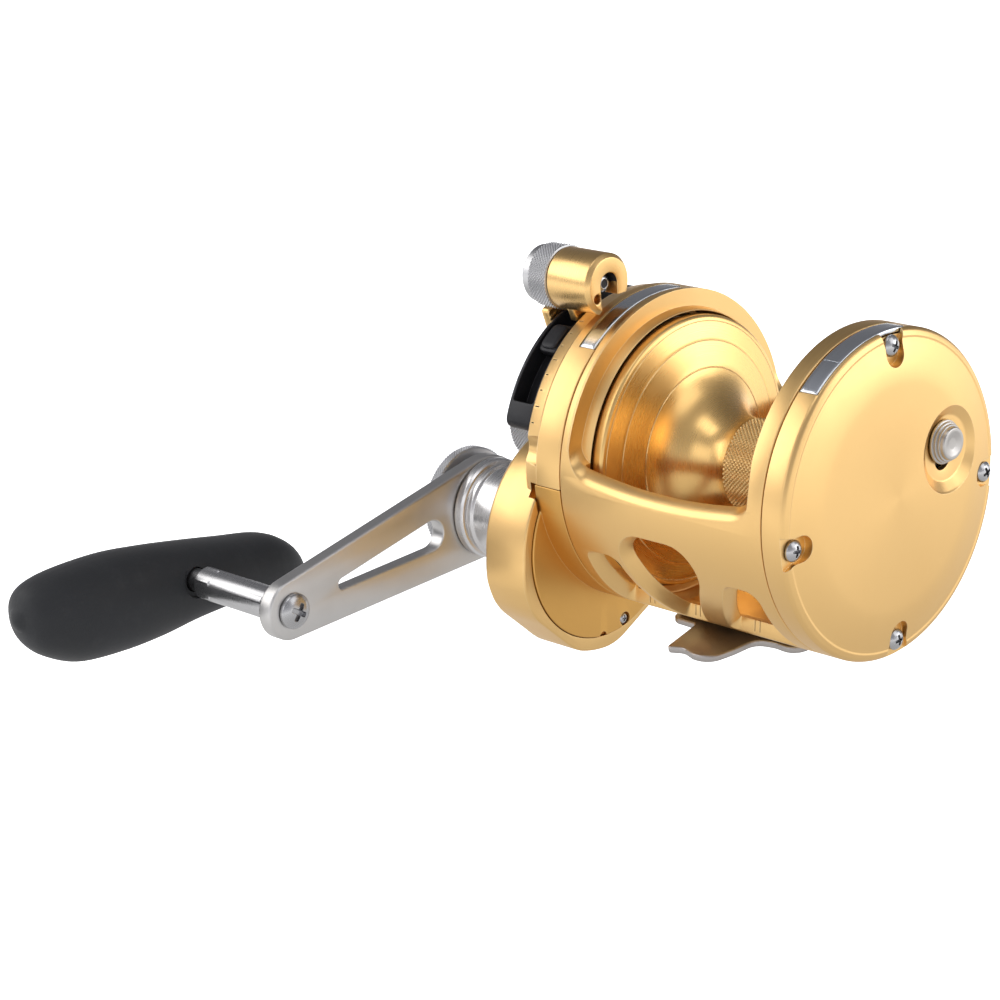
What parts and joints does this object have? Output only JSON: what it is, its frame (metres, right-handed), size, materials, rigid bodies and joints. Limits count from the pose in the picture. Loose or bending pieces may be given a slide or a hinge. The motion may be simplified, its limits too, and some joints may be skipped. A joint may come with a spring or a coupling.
{
  "type": "trolling reel",
  "caption": "Lever-drag trolling reel: one-piece frame with truss cut-outs, waisted spool, gear case with crank and T-bar grip, drag lever on a quadrant, and a plate foot for the rod.",
  "frame": {"origin": "centre of the underside of the foot, where it sits on the rod", "axes": "+X along the spool axis from the handle side to the tail plate, -Y towards the rod tip, +Z away from the rod"},
  "size_m": [0.208, 0.2003, 0.1195],
  "materials": {
    "gold_anodised": "satin gold anodised, fine turned grain",
    "deep_gold_anodised": "satin deep gold anodised",
    "polished_chrome": "polished and knurled chrome",
    "stainless_steel": "turned stainless steel",
    "titanium_anodised": "matte titanium-coloured anodised",
    "grey_stainless": "bead-blasted stainless steel",
    "black_anodised": "black anodised, satin",
    "soft_grip": "soft-touch matte rubber",
    "gear_brass": "machined brass",
    "carbon_lining": "woven carbon friction lining"
  },
  "bodies": {
    "chassis": {"frame": "gold_anodised", "foot": "grey_stainless", "foot_screw_1": "stainless_steel", "foot_screw_2": "stainless_steel", "foot_screw_3": "stainless_steel", "foot_screw_4": "stainless_steel", "tail_plate": "gold_anodised", "tail_strip": "polished_chrome", "tail_screw_1": "stainless_steel", "tail_screw_2": "stainless_steel", "tail_screw_3": "stainless_steel", "tail_screw_4": "stainless_steel", "side_plate": "gold_anodised", "side_strip": "polished_chrome", "side_screw_1": "stainless_steel", "side_screw_2": "stainless_steel", "side_screw_3": "stainless_steel", "gear_cover": "deep_gold_anodised", "cover_screw_1": "stainless_steel", "cover_screw_2": "stainless_steel", "cover_screw_3": "stainless_steel", "shaft_bearing_outer": "stainless_steel", "shaft_bearing_inner": "stainless_steel", "pinion_bearing": "stainless_steel", "quadrant": "black_anodised"},
    "handle": {"crank_shaft": "stainless_steel", "main_gear_high": "stainless_steel", "ratchet_wheel": "stainless_steel", "collar": "stainless_steel", "handle_arm": "titanium_anodised", "handle_nut": "polished_chrome", "grip_screw": "stainless_steel", "grip_spindle": "stainless_steel"},
    "grip": {"grip": "soft_grip"},
    "shift": {"shift_button": "polished_chrome", "shift_key": "stainless_steel"},
    "pinion": {"pinion_high": "gear_brass", "pinion_low": "gear_brass", "drag_plate": "stainless_steel"},
    "low_gear": {"main_gear_low": "stainless_steel"},
    "shaft": {"spool_shaft": "stainless_steel", "cam_follower": "stainless_steel", "spring_washer_1": "stainless_steel", "spring_washer_2": "stainless_steel"},
    "spool": {"spool": "gold_anodised", "click_gear": "stainless_steel", "spool_bearing_tail": "stainless_steel", "spool_bearing_handle": "stainless_steel", "drag_lining": "carbon_lining"},
    "lever": {"drag_lever": "gold_anodised", "lever_knob": "polished_chrome", "drag_cam": "stainless_steel"},
    "plunger": {"lever_plunger": "black_anodised"},
    "preset": {"preset_knob": "polished_chrome"},
    "strike": {"strike_button": "black_anodised", "strike_screw": "stainless_steel"},
    "clicker": {"clicker_button": "stainless_steel", "clicker_pawl": "stainless_steel"},
    "dog_1": {"reverse_dog_1": "gear_brass"},
    "dog_2": {"reverse_dog_2": "gear_brass"}
  },
  "joints": [
    {"name": "handle_turn", "type": "hinge", "parent": "chassis", "child": "handle", "pos_m": [-0.07, -0.0193, 0.02194], "axis": [1, 0, 0], "continuous": true},
    {"name": "grip_turn", "type": "hinge", "parent": "handle", "child": "grip", "pos_m": [-0.147, -0.09827, 0.0128], "axis": [1, 0, 0], "continuous": true},
    {"name": "shift_push", "type": "slide", "parent": "handle", "child": "shift", "axis": [1, 0, 0], "range_m": [0, 0.003]},
    {"name": "pinion_turn", "type": "hinge", "parent": "chassis", "child": "pinion", "pos_m": [-0.05, 0, 0.0462], "axis": [1, 0, 0], "continuous": true},
    {"name": "low_gear_turn", "type": "hinge", "parent": "chassis", "child": "low_gear", "pos_m": [-0.0557, -0.0193, 0.02194], "axis": [1, 0, 0], "continuous": true},
    {"name": "shaft_slide", "type": "slide", "parent": "chassis", "child": "shaft", "axis": [1, 0, 0], "range_m": [-0.000314, 0.000486]},
    {"name": "spool_turn", "type": "hinge", "parent": "shaft", "child": "spool", "pos_m": [0, 0, 0.0462], "axis": [1, 0, 0], "continuous": true},
    {"name": "drag_lever_turn", "type": "hinge", "parent": "chassis", "child": "lever", "pos_m": [-0.064, 0, 0.0462], "axis": [1, 0, 0], "range_deg": [-62, 40]},
    {"name": "plunger_push", "type": "slide", "parent": "lever", "child": "plunger", "axis": [-1, 0, 0], "range_m": [0, 0.001]},
    {"name": "preset_turn", "type": "hinge", "parent": "shaft", "child": "preset", "pos_m": [-0.08, 0, 0.0462], "axis": [1, 0, 0], "range_deg": [-180, 180]},
    {"name": "strike_push", "type": "slide", "parent": "chassis", "child": "strike", "axis": [0, 0.5693, -0.8221], "range_m": [0, 0.002]},
    {"name": "clicker_slide", "type": "slide", "parent": "chassis", "child": "clicker", "axis": [0, 0, -1], "range_m": [0, 0.0048]},
    {"name": "dog_1_swing", "type": "hinge", "parent": "chassis", "child": "dog_1", "pos_m": [-0.059, -0.03878, 0.01285], "axis": [1, 0, 0], "range_deg": [-14, 5]},
    {"name": "dog_2_swing", "type": "hinge", "parent": "chassis", "child": "dog_2", "pos_m": [-0.059, -0.00169, 0.00961], "axis": [1, 0, 0], "range_deg": [-14, 5]}
  ],
  "couplings": [
    {"joint": "pinion_turn", "follows": "handle_turn", "ratio": -4.1667},
    {"joint": "spool_turn", "follows": "handle_turn", "ratio": -4.1667},
    {"joint": "low_gear_turn", "follows": "handle_turn", "ratio": 1.9841},
    {"joint": "shaft_slide", "follows": "drag_lever_turn", "m_per_rad": -0.000449}
  ]
}
